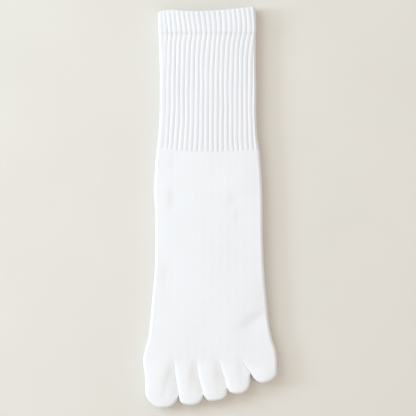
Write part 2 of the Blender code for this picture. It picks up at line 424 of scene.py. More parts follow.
def pole_faces(ring: np.ndarray, near: np.ndarray, pole: int) -> Faces:
    """Triangles from each side of a ring to its pole.

    Args:
        ring: the ring's point numbers.
        near: its stitch numbers in the same order, with one more at the end.
        pole: the pole's point number.
    Returns:
        The triangles.
    """
    fan = np.stack((ring, np.roll(ring, -1), np.full(len(ring), pole)), axis=1)
    tips = (near[:-1] + near[1:]) / 2
    corners = np.stack((near[:-1], near[1:], tips), axis=1)
    return Faces(fan.ravel(), corners.reshape(-1, 2), np.full(face_count(fan), 3))


def signed_volume(points: np.ndarray, faces: Faces) -> float:
    """Volume inside the faces, negative where they point inwards: a sum of fans to the origin.

    Args:
        points: all points.
        faces: the faces, of 3 or 4 corners each.
    Returns:
        The volume in the points' unit, cubed.
    """
    a, b, c = (points[faces.points[faces.starts + corner]] for corner in range(3))
    last = points[faces.points[faces.starts + faces.sizes - 1]]
    volume = np.einsum("ij,ij->i", a, np.cross(b, c))
    fourth = np.einsum("ij,ij->i", a, np.cross(c, last))
    return float(np.sum(volume + np.where(faces.sizes == 4, fourth, 0.0)) / 6)


def turned_round(faces: Faces) -> Faces:
    """The faces with their other sides out: each one's corners are read from last to first.

    Args:
        faces: the faces.
    Returns:
        The same faces, turned.
    """
    owner = np.repeat(np.arange(len(faces.sizes)), faces.sizes)
    inside = np.arange(faces.sizes.sum()) - faces.starts[owner]
    order = faces.starts[owner] + faces.sizes[owner] - 1 - inside
    return Faces(faces.points[order], faces.stitches[order], faces.sizes)


def fill_mesh(name: str, points: np.ndarray, faces: Faces) -> bpy.types.Mesh:
    """Makes a smooth-shaded mesh.

    Args:
        name: the mesh's name.
        points: all points, in millimetres.
        faces: the faces.
    Returns:
        The mesh, in metres, with the stitch numbers in its UV map.
    """
    mesh = bpy.data.meshes.new(name)
    mesh.vertices.add(len(points))
    mesh.vertices.foreach_set("co", (points * MM).astype(np.float32).ravel())
    mesh.loops.add(len(faces.points))
    mesh.loops.foreach_set("vertex_index", faces.points.astype(np.int32))
    mesh.polygons.add(len(faces.sizes))
    mesh.polygons.foreach_set("loop_start", faces.starts.astype(np.int32))
    mesh.polygons.foreach_set("loop_total", faces.sizes.astype(np.int32))
    mesh.update(calc_edges=True)
    uv = mesh.uv_layers.new(name="stitches")
    uv.data.foreach_set("uv", faces.stitches.astype(np.float32).ravel())
    mesh.shade_smooth()
    return mesh


def make_piece(
    name: str,
    grid: np.ndarray,
    stitches: np.ndarray,
    ends: Ends,
    hard_rows: tuple[int, ...],
    poles: tuple[np.ndarray, ...] = (),
) -> bpy.types.Object:
    """Makes an object from a grid of rings.

    Args:
        name: the piece's name.
        grid: rows by columns by 3, in millimetres. The columns close on themselves.
        stitches: rows by columns + 1 by 2, the wale and course numbers.
        ends: how the first and last rows are closed.
        hard_rows: rows whose edges around keep a hard crease, where the wall ends at a seam.
        poles: the closing points of both ends, where they are drawn to points.
    Returns:
        The object, with outward faces, smooth shading and the stitches in its UV map.
    """
    rows, columns = grid.shape[:2]
    numbers = np.arange(rows * columns).reshape(rows, columns)
    points = grid.reshape(-1, 3)
    faces = ring_faces(numbers, stitches, ends)
    if ends is Ends.POLES:
        pole = len(points)
        points = np.concatenate((points, np.array(poles)))
        first = pole_faces(np.roll(numbers[0], -1)[::-1], stitches[0][::-1], pole)
        last = pole_faces(numbers[-1], stitches[-1], pole + 1)
        faces = joined([faces, first, last])
    if signed_volume(points, faces) < 0:
        faces = turned_round(faces)
    mesh = fill_mesh(name, points, faces)
    harden(mesh, hard_rows, columns)
    mesh.validate()
    piece = bpy.data.objects.new(name, mesh)
    bpy.context.scene.collection.objects.link(piece)
    return piece


def harden(mesh: bpy.types.Mesh, hard_rows: tuple[int, ...], columns: int) -> None:
    """Marks the edges that run around the given rows as sharp.

    Args:
        mesh: a mesh whose points are numbered row by row.
        hard_rows: the rows.
        columns: how many points a row has.
    """
    if not hard_rows:
        return
    ends = np.empty(len(mesh.edges) * 2, dtype=np.int32)
    mesh.edges.foreach_get("vertices", ends)
    row = ends.reshape(-1, 2) // columns
    hard = (row[:, 0] == row[:, 1]) & np.isin(row[:, 0], hard_rows)
    mesh.edges.foreach_set("use_edge_sharp", hard)


def linear(code: str) -> tuple[float, float, float, float]:
    """Turns an sRGB hex colour to linear light.

    Args:
        code: the colour, such as #F2F3F5.
    Returns:
        Linear red, green, blue and 1.
    """
    parts = [int(code[i : i + 2], 16) / 255 for i in (1, 3, 5)]
    bent = [p / 12.92 if p <= 0.04045 else ((p + 0.055) / 1.055) ** 2.4 for p in parts]
    return (bent[0], bent[1], bent[2], 1.0)


def per_metre(size: float) -> float:
    """The scale of a noise on Object coordinates whose lumps have a size in millimetres."""
    return 1 / (size * MM)


def add_node(
    tree: bpy.types.NodeTree,
    kind: str,
    settings: dict[str, object] | None = None,
    inputs: dict[str | int, object] | None = None,
) -> bpy.types.Node:
    """Adds a node.

    Args:
        tree: the material's or world's node tree.
        kind: the node's type name.
        settings: properties set on the node.
        inputs: socket name or number to a value, or to another node's output to link from.
    Returns:
        The new node.
    """
    made = tree.nodes.new(kind)
    for name, value in (settings or {}).items():
        setattr(made, name, value)
    for name, value in (inputs or {}).items():
        if isinstance(value, bpy.types.NodeSocket):
            tree.links.new(value, made.inputs[name])
        else:
            made.inputs[name].default_value = value
    return made


@dataclass(frozen=True)
class Knit:
    """A cotton jersey or rib knit, matt and slightly fuzzy: it gives soft V-shaped stitches in rows.

    A wale is one column of stitches and a course one row. A fine-gauge sock has wales of about 1 mm
    and courses of about 0.8 mm. At 0.84 mm to a pixel that is too fine to show, so both are drawn
    about twice as coarse.
    """

    name: str
    slot: str
    # The two tints: the darker one is a random mottled tone and also painted shade where the yarn dips
    # between stitches
    light_tint: str
    dark_tint_and_gap_shade: str
    wale: float = 1.9
    course: float = 1.4
    stitch_depth: float = 0.075
    fuzz_depth: float = 0.05
    roughness: float = 0.93
    roughness_spread: float = 0.08
    sheen: float = 0.12
    sheen_roughness: float = 0.5
    specular: float = 0.25
    # How far a stitch's legs slant, in courses to a wale, and how far the yarn dips between courses
    slant: float = 1.1
    dip: float = 0.25
    # Sizes of the fuzz's tufts and of the slow cloudiness, in millimetres
    tuft: float = 1.1111
    cloud: float = 22.2222
    cloud_share: float = 0.7

    def stitch_height(self, tree: bpy.types.NodeTree) -> bpy.types.NodeSocket:
        """Adds the nodes for the height of the stitches, from 0 to 1.

        It is a sine across each half wale, times a sine along the courses that is carried down by
        the half wale's own place, which draws the two legs of a V.

        Args:
            tree: the material's node tree.
        Returns:
            The height's socket.
        """
        numbers = add_node(tree, "ShaderNodeUVMap", {"uv_map": "stitches"})
        parts = add_node(tree, "ShaderNodeSeparateXYZ", inputs={0: numbers.outputs[0]})
        half = add_node(
            tree, "ShaderNodeMath", {"operation": "PINGPONG"}, {0: parts.outputs["X"], 1: 0.5}
        )
        half_turn = add_node(
            tree, "ShaderNodeMath", {"operation": "MULTIPLY"}, {0: half.outputs[0], 1: 2 * math.pi}
        )
        leg = add_node(tree, "ShaderNodeMath", {"operation": "SINE"}, {0: half_turn.outputs[0]})
        carried = add_node(
            tree,
            "ShaderNodeMath",
            {"operation": "MULTIPLY_ADD"},
            {0: half.outputs[0], 1: self.slant, 2: parts.outputs["Y"]},
        )
        course_turn = add_node(
            tree, "ShaderNodeMath", {"operation": "MULTIPLY"}, {0: carried.outputs[0], 1: 2 * math.pi}
        )
        course = add_node(tree, "ShaderNodeMath", {"operation": "SINE"}, {0: course_turn.outputs[0]})
        yarn = add_node(
            tree,
            "ShaderNodeMath",
            {"operation": "MULTIPLY_ADD"},
            {0: course.outputs[0], 1: self.dip, 2: 1 - self.dip},
        )
        stitch = add_node(
            tree,
            "ShaderNodeMath",
            {"operation": "MULTIPLY"},
            {0: leg.outputs[0], 1: yarn.outputs[0]},
        )
        return stitch.outputs[0]

    def material(self) -> bpy.types.Material:
        """Builds the material: stitches from the wale and course numbers, cloudiness from noise.

        The tint runs from the darker to the lighter one with the cloudiness and, less, with the
        stitches, as painted shade between the yarns.
        The stitches and then the fuzz are laid on as bumps, and the fuzz varies the roughness.

        Returns:
            The material.
        """
        made = bpy.data.materials.new(self.name)
        made.use_nodes = True
        tree = made.node_tree
        shader = tree.nodes["Principled BSDF"]
        place = add_node(tree, "ShaderNodeTexCoord").outputs["Object"]
        stitch = self.stitch_height(tree)
        fuzz = add_node(
            tree,
            "ShaderNodeTexNoise",
            inputs={"Vector": place, "Scale": per_metre(self.tuft), "Detail": 3.0, "Roughness": 0.6},
        )
        cloud = add_node(
            tree,
            "ShaderNodeTexNoise",
            inputs={"Vector": place, "Scale": per_metre(self.cloud), "Detail": 2.0, "Roughness": 0.5},
        )
        # The stitches' share of the tint is painted shade: the colour darkens where the yarn dips
        # between stitches
        ridges = add_node(
            tree, "ShaderNodeMath", {"operation": "MULTIPLY"}, {0: stitch, 1: 1 - self.cloud_share}
        )
        mottle_and_gap_shade = add_node(
            tree,
            "ShaderNodeMath",
            {"operation": "MULTIPLY_ADD"},
            {0: cloud.outputs["Fac"], 1: self.cloud_share, 2: ridges.outputs[0]},
        )
        colour = add_node(
            tree,
            "ShaderNodeMix",
            {"data_type": "RGBA"},
            {0: mottle_and_gap_shade.outputs[0], 6: linear(self.dark_tint_and_gap_shade), 7: linear(self.light_tint)},
        )
        stitches = add_node(
            tree,
            "ShaderNodeBump",
            inputs={"Strength": 1.0, "Distance": self.stitch_depth * MM, "Height": stitch},
        )
        fuzzy = add_node(
            tree,
            "ShaderNodeBump",
            inputs={
                "Strength": 1.0,
                "Distance": self.fuzz_depth * MM,
                "Height": fuzz.outputs["Fac"],
                "Normal": stitches.outputs["Normal"],
            },
        )
        least = self.roughness - self.roughness_spread / 2
        rough = add_node(
            tree,
            "ShaderNodeMath",
            {"operation": "MULTIPLY_ADD"},
            {0: fuzz.outputs["Fac"], 1: self.roughness_spread, 2: least},
        )
        tree.links.new(colour.outputs[2], shader.inputs["Base Color"])
        tree.links.new(fuzzy.outputs["Normal"], shader.inputs["Normal"])
        tree.links.new(rough.outputs[0], shader.inputs["Roughness"])
        shader.inputs["Sheen Weight"].default_value = self.sheen
        shader.inputs["Sheen Roughness"].default_value = self.sheen_roughness
        shader.inputs["Specular IOR Level"].default_value = self.specular
        return made


# Tints of each knit, lighter then darker; the darker one also paints shade between the yarns
RIB_KNIT = Knit(
    "white_cotton_rib_knit", "rib_knit", "#EFF0F2", "#E5E7EB", course=1.5, stitch_depth=0.1
)
PLAIN_KNIT = Knit("white_cotton_jersey_knit", "plain_knit", "#F2F3F5", "#EAECEF")
HEEL_KNIT = Knit("white_cotton_heel_jersey", "heel_knit", "#F1F2F4", "#E8EAED", course=1.2)


@dataclass(frozen=True)
class MattPaper:
    """Matt uncoated backdrop paper, warm off-white: an even ground with a barely mottled tooth."""

    name: str = "warm_white_backdrop_paper"
    light: str = "#E3E0D9"
    dark: str = "#DDDAD2"
    # Size of the mottling, in millimetres
    mottle: float = 71.4286
    roughness: float = 0.95
    specular: float = 0.15

    def material(self) -> bpy.types.Material:
        """Builds the paper from two close tints mixed by noise.

        Returns:
            The material.
        """
        made = bpy.data.materials.new(self.name)
        made.use_nodes = True
        tree = made.node_tree
        shader = tree.nodes["Principled BSDF"]
        place = add_node(tree, "ShaderNodeTexCoord").outputs["Object"]
        mottle = add_node(
            tree,
            "ShaderNodeTexNoise",
            inputs={"Vector": place, "Scale": per_metre(self.mottle), "Detail": 4.0},
        )
        colour = add_node(
            tree,
            "ShaderNodeMix",
            {"data_type": "RGBA"},
            {0: mottle.outputs["Fac"], 6: linear(self.light), 7: linear(self.dark)},
        )
        tree.links.new(colour.outputs[2], shader.inputs["Base Color"])
        shader.inputs["Roughness"].default_value = self.roughness
        shader.inputs["Specular IOR Level"].default_value = self.specular
        return made


@dataclass
class RibbedCuff:
    """The welt and the ribbed leg, one tube of ribs cut at the welt's seam."""

    outline: Outline
    ribs: int = 44
    points_per_rib: int = 10
    rib_depth: float = 0.43
    rib_roundness: float = 0.8
    welt_height: float = 10.0
    leg_height: float = 9.3
    ankle_height: float = 9.1
    # How far below its seam the rise to the welt starts, and the lengths of both eases in height
    welt_lead: float = 1.5
    welt_ease: float = 4.0
    ankle_ease: float = 25.0
    welt_wall: float = 2.6
    leg_wall: float = 2.2
    # The ribs' slow drift sideways: its size in ribs, and its waves along and around the cuff
    wobble: float = 0.06
    wobble_lengths: tuple[float, float] = (8.5, 21.0)
    wobble_rounds: tuple[int, int] = (7, -3)
    # The valleys' slow change of depth along the cuff, which differs from rib to rib
    swell: float = 0.10
    swell_length: float = 9.0
    swell_step: float = 1.7
    side_fade: float = 0.85
    side_reach: float = 6.0
    seam_depth: float = 0.12
    seam_breadth: float = 1.6
    least_fold: float = 1.8
    rim_sag: float = 0.45
    rim_length: float = 8.5
    rim_phase: float = 0.8
    lip_reach: float = 1.1
    lip_rows: int = 5
    run_out: float = 2.6
    run_out_rows: int = 9
    # Rows are closer so near to the welt's seam
    seam_zone: float = 3.0
    seam_rows: int = 9
    welt_rows: int = 17
    leg_rows: int = 82
    # The linings take only one of so many rows
    welt_step: int = 2
    leg_step: int = 4
    turns: tuple[Turn, ...] = (
        Turn(46.0, 0.12, 0.09),
        Turn(60.0, 0.20, 0.09),
        Turn(80.0, 0.25, 0.09),
        Turn(98.0, 0.25, 0.09),
        Turn(115.0, 0.35, 0.09),
        Turn(127.0, 0.50, 0.09),
        Turn(138.0, 0.72, 0.09),
        Turn(145.0, 1.00, 0.10),
        Turn(153.0, 0.95, 0.18),
        Turn(163.0, 0.75, 0.25),
        Turn(168.0, 0.70, 0.25),
    )

    def height(self, rows: np.ndarray) -> np.ndarray:
        """Height of the cuff at each row: level on the welt, eased over its seam and to the ankle.

        Args:
            rows: each row's place along the sock.
        Returns:
            One height for each row.
        """
        welt = smooth_step((rows - WELT_Y + self.welt_lead) / self.welt_ease)
        ankle = smooth_step((rows - ANKLE_Y) / self.ankle_ease)
        leg = self.ankle_height + (self.leg_height - self.ankle_height) * ankle
        return leg + (self.welt_height - leg) * welt

    def ring(self, rows: np.ndarray, inset: float) -> np.ndarray:
        """The smooth pressed tube under the ribs, drawn in by an inset.

        Each ring is two level faces joined by folds that are quarter ellipses, wider below by the
        curl. A column keeps to one rib: its share of the way around is its rib number over all ribs,
        turned by the row's twist and a slow wobble, less a sine that spreads the ribs in the middle
        of each face. Towards the rim the upper layer sags in slow waves.

        Args:
            rows: each ring's place along the sock.
            inset: how far it is drawn in, in millimetres.
        Returns:
            Rows by columns by 3.
        """
        rows = rows[:, None]
        left, right = self.outline.spans(rows)
        high = self.height(rows)
        half_high = (high - 2 * inset) / 2
        number = np.arange(self.ribs * self.points_per_rib)[None] / self.points_per_rib
        places = np.array([turn.y for turn in self.turns])
        turn = smooth_through(places, np.array([turn.turned for turn in self.turns]), rows)
        spread = smooth_through(places, np.array([turn.spread for turn in self.turns]), rows)
        angle = 2 * math.pi * number / self.ribs
        wave = np.sin(4 * math.pi * number / self.ribs)
        first, second = (
            np.sin(rows / length + rounds * angle)
            for length, rounds in zip(self.wobble_lengths, self.wobble_rounds)
        )
        drift = self.wobble * first * second
        share = ((number + turn + drift - spread * wave) / self.ribs) % 1.0
        upper = share <= 0.5
        curl = np.where(upper, 1.0, self.outline.curl)
        left_fold = np.maximum(self.outline.left_fold * curl - inset, self.least_fold)
        right_fold = np.maximum(self.outline.right_fold * curl - inset, self.least_fold)
        level = right - left - 2 * inset - left_fold - right_fold
        rise = math.pi / 2 * np.sqrt((left_fold**2 + half_high**2) / 2)
        fall = math.pi / 2 * np.sqrt((right_fold**2 + half_high**2) / 2)
        travel = np.where(upper, share, 1 - share) * 2 * (rise + level + fall)
        rising = np.clip(travel / rise, 0, 1) * math.pi / 2
        falling = np.clip((travel - rise - level) / fall, 0, 1) * math.pi / 2
        x = left + inset + left_fold * (1 - np.cos(rising))
        x = x + np.clip(travel - rise, 0, level) + right_fold * np.sin(falling)
        side = np.where(upper, 1.0, -1.0)
        z = inset + half_high * (1 + side * np.sin(rising) * np.cos(falling))
        y, lateral = self.outline.place_rows(rows, x)
        near_rim = smooth_step((rows - WELT_Y) / (RIM_Y - WELT_Y))
        sag = self.rim_sag * near_rim * (1 + np.sin(x / self.rim_length + self.rim_phase)) / 2
        lift = self.outline.crown * (1 - lateral**2) - self.outline.ease(x, left) - sag
        return np.stack((x, y, z + lift * z / high), axis=2)

    def rib_relief(self, rows: np.ndarray) -> np.ndarray:
        """How far the valleys lie below the ridges: one less a power of the sine of the rib number.

        The valleys run out in rounded ends above the ankle, swell and fade a little on the way, and
        are nearly pulled flat at the left fold.

        Args:
            rows: each ring's place along the sock.
        Returns:
            Depths, rows by columns.
        """
        number = np.arange(self.ribs * self.points_per_rib)[None] / self.points_per_rib
        valley = 1 - np.abs(np.sin(math.pi * number)) ** self.rib_roundness
        above = np.clip((rows[:, None] - ANKLE_Y) / self.run_out, 0, 1)
        end = np.sqrt(1 - (1 - above) ** 2)
        phase = self.swell_step * np.floor(number + 0.5)
        swell = 1 + self.swell * np.sin(rows[:, None] / self.swell_length + phase)
        x = self.ring(rows, 0.0)[..., 0]
        left = self.outline.spans(rows[:, None])[0]
        stretched = self.side_fade * np.exp(-(((x - left) / self.side_reach) ** 2))
        return self.rib_depth * valley * end * swell * (1 - stretched)

    def seam_relief(self, rows: np.ndarray) -> np.ndarray:
        """The shallow groove of the welt's seam: a bell curve across it."""
        return self.seam_depth * np.exp(-(((rows[:, None] - WELT_Y) / self.seam_breadth) ** 2))

    def skin(self, rows: np.ndarray) -> np.ndarray:
        """The outer skin: the smooth tube, drawn in by the ribs' and the seam's relief."""
        smooth = self.ring(rows, 0.0)
        return smooth - outward(smooth) * (self.rib_relief(rows) + self.seam_relief(rows))[..., None]

    def lining(self, rows: np.ndarray, wall: float) -> np.ndarray:
        """The inner skin: the smooth tube a wall's thickness in, with the same ribs half as deep."""
        smooth = self.ring(rows, wall)
        return smooth + outward(smooth) * 0.5 * self.rib_relief(rows)[..., None]

    def stitches(self, grid: np.ndarray, knit: Knit) -> np.ndarray:
        """Wale and course numbers: two wales to a rib, so the wales follow the ribs.

        Args:
            grid: the rings.
            knit: the knit whose stitches are counted.
        Returns:
            Rows by columns + 1 by 2.
        """
        ribs = 2 * np.arange(self.ribs * self.points_per_rib + 1) / self.points_per_rib
        courses = distance_along(grid, 0) / knit.course
        return np.stack(np.broadcast_arrays(ribs[None], courses[:, None]), axis=2)

    def welt(self) -> bpy.types.Object:
        """Builds the doubled band at the cuff, with a half-round lip.

        Returns:
            The welt's object.
        """
        coarse = np.linspace(RIM_Y - self.lip_reach, WELT_Y + self.seam_zone, self.welt_rows)
        fine = np.linspace(WELT_Y + self.seam_zone, WELT_Y, self.seam_rows)
        rows = np.concatenate((coarse[:-1], fine))
        outer = self.skin(rows)
        inner = self.lining(rows[:: self.welt_step], self.welt_wall)
        lip = lip_rings(outer[0], inner[0], self.lip_rows, self.lip_reach)
        grid = np.concatenate((outer, inner[::-1], lip))
        last = len(outer) - 1
        return make_piece(
            "knitted_welt", grid, self.stitches(grid, RIB_KNIT), Ends.JOINED, (last, last + 1)
        )

    def leg(self) -> bpy.types.Object:
        """Builds the ribbed leg, from the welt's seam to the ankle.

        Returns:
            The leg's object.
        """
        start = np.linspace(WELT_Y, WELT_Y - self.seam_zone, self.seam_rows)
        turned = np.linspace(math.pi / 2, 0, self.run_out_rows)
        end = ANKLE_Y + self.run_out * (1 - np.cos(turned))
        middle = np.linspace(WELT_Y - self.seam_zone, end[0], self.leg_rows)[1:-1]
        rows = np.concatenate((start, middle, end))
        outer = self.skin(rows)
        inner = self.lining(np.append(rows[: -1 : self.leg_step], rows[-1]), self.leg_wall)
        grid = np.concatenate((outer, inner[::-1]))
        last = len(outer) - 1
        hard = (0, last, last + 1, len(grid) - 1)
        return make_piece("knitted_leg", grid, self.stitches(grid, RIB_KNIT), Ends.JOINED, hard)

    def build(self, material: bpy.types.Material) -> list[bpy.types.Object]:
        """Builds both pieces and dresses them.

        Args:
            material: the rib knit.
        Returns:
            The welt and the leg.
        """
        pieces = [self.welt(), self.leg()]
        for piece, node in zip(pieces, ("welt", "ribbed_leg")):
            dress(piece, material, node)
        return pieces


def dress(piece: bpy.types.Object, material: bpy.types.Material, node: str) -> None:
    """Gives a piece its material and its body, and hides the CAD node's part that it stands for.

    Args:
        piece: the piece.
        material: the knit's material.
        node: the CAD node that the piece replaces.
    """
    piece.data.materials.append(material)
    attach(piece, "root")
    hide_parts(node)
    LOG.info("%s: %d faces, replaces %s", piece.name, len(piece.data.polygons), node)


@dataclass(frozen=True)
class TurnedHeel:
    """The turned heel: a flat elliptic disc with a round edge, in a pan in the foot's underside."""

    middle: tuple[float, float] = (-2.0, 21.0)
    reach: tuple[float, float] = (37.2, 23.6)
    thickness: float = 0.78
    # The gap around it, as a share of its reach, and the gap above it
    seam: float = 0.06
    clearance: float = 0.03
    # It is level to this share of its reach, and its edge is round over the rest
    level: float = 0.9
    edge: float = 0.1
    edge_turns: tuple[float, ...] = (25.0, 50.0, 70.0)
    rows: int = 10
    points: int = 128

    def recess(self, x: np.ndarray, y: np.ndarray) -> np.ndarray:
        """Room for the heel in the underside: an elliptic pan whose rim is as wide as the seam.

        Args:
            x: the points' X.
            y: the points' Y.
        Returns:
            How far each point of the underside is raised.
        """
        off_x = (x - self.middle[0]) / self.reach[0]
        off_y = (y - self.middle[1]) / self.reach[1]
        out = np.sqrt(off_x**2 + off_y**2)
        return self.thickness * smooth_step((1 + self.seam - out) / self.seam)

    def disc(self) -> bpy.types.Object:
        """Makes the disc, from the middle of its lower face to the middle of its upper one.

        Each ring is the heel's ellipse times its share of the reach. The edge falls away from the
        level part as a quarter circle, drawn as wide as its share of the reach.

        Returns:
            The heel's object.
        """
        level = np.linspace(0, self.level, self.rows)[1:]
        round_edge = self.level + self.edge * np.sin(np.radians(self.edge_turns))
        shares = np.concatenate((level, round_edge))
        turn = np.linspace(0, 2 * math.pi, self.points + 1)[:-1]
        plan = np.stack((self.reach[0] * np.cos(turn), self.reach[1] * np.sin(turn)), axis=1)
        half = (self.thickness - self.clearance) / 2
        edge = np.clip((shares - self.level) / self.edge, 0, 1)
        rise = half * np.sqrt(1 - edge**2)
        reaches = np.concatenate((shares, shares[::-1]))[:, None, None]
        heights = np.concatenate((half - rise, half + rise[::-1]))[:, None, None]
        flat = np.array(self.middle) + plan[None] * reaches
        grid = np.concatenate((flat, np.broadcast_to(heights, flat.shape[:2] + (1,))), axis=2)
        numbers = np.stack((grid[..., 1] / HEEL_KNIT.wale, grid[..., 0] / HEEL_KNIT.course), axis=2)
        numbers = np.concatenate((numbers, numbers[:, :1]), axis=1)
        poles = (np.array((*self.middle, 0.0)), np.array((*self.middle, 2 * half)))
        return make_piece("knitted_heel", grid, numbers, Ends.POLES, (), poles)

    def build(self, material: bpy.types.Material) -> bpy.types.Object:
        """Builds the heel and dresses it.

        Args:
            material: the denser knit of the heel.
        Returns:
            The heel's object.
        """
        piece = self.disc()
        dress(piece, material, "heel")
        return piece


@dataclass(frozen=True)
class ToeSide:
    """One side of a toe pocket: its X, the width of its fold and its bluntness at each depth."""

    x: np.ndarray
    fold: np.ndarray
    blunt: np.ndarray


@dataclass
class PlainFoot:
    """The plain-knit foot, from the ankle to the toe line, with its five toe pockets.

    The heel is a piece of its own, for which the foot leaves room in its underside.
    """

    outline: Outline
    heel: TurnedHeel
    side_points: int = 12
    top_points: int = 44
    bottom_points: int = 22
    foot_height: float = 9.1
    wall: float = 1.6
    waves: tuple[SlowWave, ...] = (
        SlowWave(0.10, 11.0, 23.0, 0.6),
        SlowWave(0.08, 7.0, -17.0, 2.1),
    )
    groove_start: float = -3.5
    groove_reach: float = 10.0
    groove_depth: float = 0.36
    groove_left: float = 4.5
    groove_right: float = 1.8
    # The grooves fade out over a reach that begins so far short of the crease's end
    groove_lead: float = 2.0
    groove_fade: float = 4.0
    contact_fold: float = 0.08
    contact_start: float = 8.0
    contact_blunt: float = 3.0
    # Past a crease's end a toe's side turns round over a reach that begins so far short of it
    free_lead: float = 0.5
    free_reach: float = 4.0
    # An outer toe's side changes over this last share of the way to the shoulder
    outer_share: float = 0.5
    toe_gap: float = 0.01
    gap_start: float = 1.5
    toe_crown: float = 1.0
    dome_start: float = 14.0
    low_fold: float = 2.4
    low_start: float = 12.0
    # The folds of the lower layer reach in by at most this share of the width
    curl_most: float = 0.46
    # Least folds of the linings, and the least width that a place is measured over
    foot_lining_fold: float = 0.5
    toe_lining_fold: float = 0.4
    least_width: float = 1.0
    side_fold: float = 2.4
    tip_fold: float = 3.1
    tip_curl: float = 2.6
    tip_middle: float = 0.52
    # A tip's rings stop at so many degrees of its quarter turn, and its pole lies a hair further on
    tip_turn: float = 88.0
    tip_rows: int = 26
    pole_step: float = 0.02
    # A toe's rows are closer this near to the toe line
    root_zone: float = 6.0
    root_rows: int = 13
    toe_rows: int = 16
    # The foot's rows are closer beside the heel and this near to the toe line
    heel_zone_end: float = -6.0
    heel_zone_rows: int = 60
    plain_rows: int = 70
    groove_zone: float = 9.0
    groove_rows: int = 15
    # The linings take only one of so many rows
    foot_step: int = 5
    toe_step: int = 3
    tip_step: int = 2
    dents: tuple[Dent, ...] = (
        Dent(-29.6, 38.0, 8.0, 2.6, 90, 0.20),
        Dent(-29.4, 7.0, 12.0, 5.2, 89, 0.72),
        Dent(20.6, 6.0, 5.5, 4.2, 70, 0.42, 2.4),
        Dent(24.0, -8.5, 4.5, 3.0, 75, 0.24),
        Dent(38.2, -94.8, 13.5, 4.8, 34, 0.95, 1.8),
        Dent(-34.9, -56.0, 13.0, 4.5, 88, 0.32, 2.0),
        Dent(44.5, -74.0, 7.0, 3.2, 80, 0.22),
        Dent(-34.4, -145.0, 14.0, 3.0, 76, 0.42, 1.6),
        Dent(-13.6, -142.0, 12.0, 2.6, 86, 0.34, 1.6),
        Dent(7.4, -139.0, 11.0, 2.8, 95, 0.34, 1.6),
        Dent(26.8, -136.0, 8.0, 2.8, 98, 0.34, 1.6),
    )
    creases: tuple[Crease, ...] = (
        Crease(-29.9, 4.1, 30.4, 1.4),
        Crease(-10.9, 5.8, 29.1, 1.8),
        Crease(7.6, 7.6, 22.6, 1.25),
        Crease(26.8, 7.7, 11.5, 1.2),
    )
    toes: tuple[Toe, ...] = (
        Toe("big_toe_pocket", 41.5, 29.5, -41.0, 1.5, 2.2, 9.3),
        Toe("second_toe_pocket", 39.0, 31.0, -15.0, 2.4, 1.8, 9.5),
        Toe("middle_toe_pocket", 35.5, 27.0, 0.5, 1.6, 2.3, 9.8),
        Toe("fourth_toe_pocket", 29.5, 17.5, 23.5, 2.4, 2.1, 9.9),
        Toe("little_toe_pocket", 20.5, 11.5, 44.0, 1.5, 1.7, 9.6),
    )

    def crease_x(self, number: int, depth: np.ndarray) -> np.ndarray:
        """X of a crease at depths below the toe line."""
        crease = self.creases[number]
        return crease.root + crease.lean * np.clip(depth / crease.depth, 0, 1) ** crease.bend

    def hollows(self, x: np.ndarray, y: np.ndarray) -> np.ndarray:
        """How far dents, the grooves between the toes and slow waves lower the upper layer.

        A wave is its height times the sine of X and Y over its lengths plus its phase. A dent is its
        depth times a bell curve over its ellipse. A groove is a bell curve across its crease.

        Args:
            x: the points' X.
            y: the points' Y.
        Returns:
            One depth for each point.
        """
        down = sum(w.height * np.sin(x / w.across + y / w.along + w.phase) for w in self.waves)
        for dent in self.dents:
            turn = math.radians(dent.turn)
            along = (x - dent.x) * math.cos(turn) + (y - dent.y) * math.sin(turn)
            across = (y - dent.y) * math.cos(turn) - (x - dent.x) * math.sin(turn)
            breadth = np.where(across > 0, dent.breadth, dent.run_off * dent.breadth)
            reach = (along / dent.length) ** 2 + (across / breadth) ** 2
            down = down + dent.depth * np.exp(-reach)
        depth = TOE_Y - y
        start = smooth_step((depth - self.groove_start) / self.groove_reach)
        for number, crease in enumerate(self.creases):
            across = x - self.crease_x(number, depth)
            reach = across / np.where(across < 0, self.groove_left, self.groove_right)
            end = 1 - smooth_step((depth - crease.depth + self.groove_lead) / self.groove_fade)
            down = down + self.groove_depth * start * end * np.exp(-(reach**2))
        return down

    def top(self, x: np.ndarray, y: np.ndarray, lateral: np.ndarray) -> np.ndarray:
        """Height of the foot's upper layer: level, a slight crown, less its slopes and hollows."""
        level = self.foot_height + self.outline.crown * (1 - lateral**2)
        return level - self.outline.ease(x, self.outline.fold(y, "left")) - self.hollows(x, y)

    def column_shares(self, arcs: int) -> np.ndarray:
        """Each column's share of the way from the lower layer to the upper one.

        Args:
            arcs: how many arcs the level faces are divided into.
        Returns:
            One share for each column: it rises on the left side and falls on the right one.
        """
        angle = np.linspace(-math.pi / 2, math.pi / 2, self.side_points + 1)[:-1]
        rise = (1 + np.sin(angle)) / 2
        top, low = np.ones(arcs * self.top_points), np.zeros(arcs * self.bottom_points)
        return np.concatenate((rise, top, 1 - rise, low))

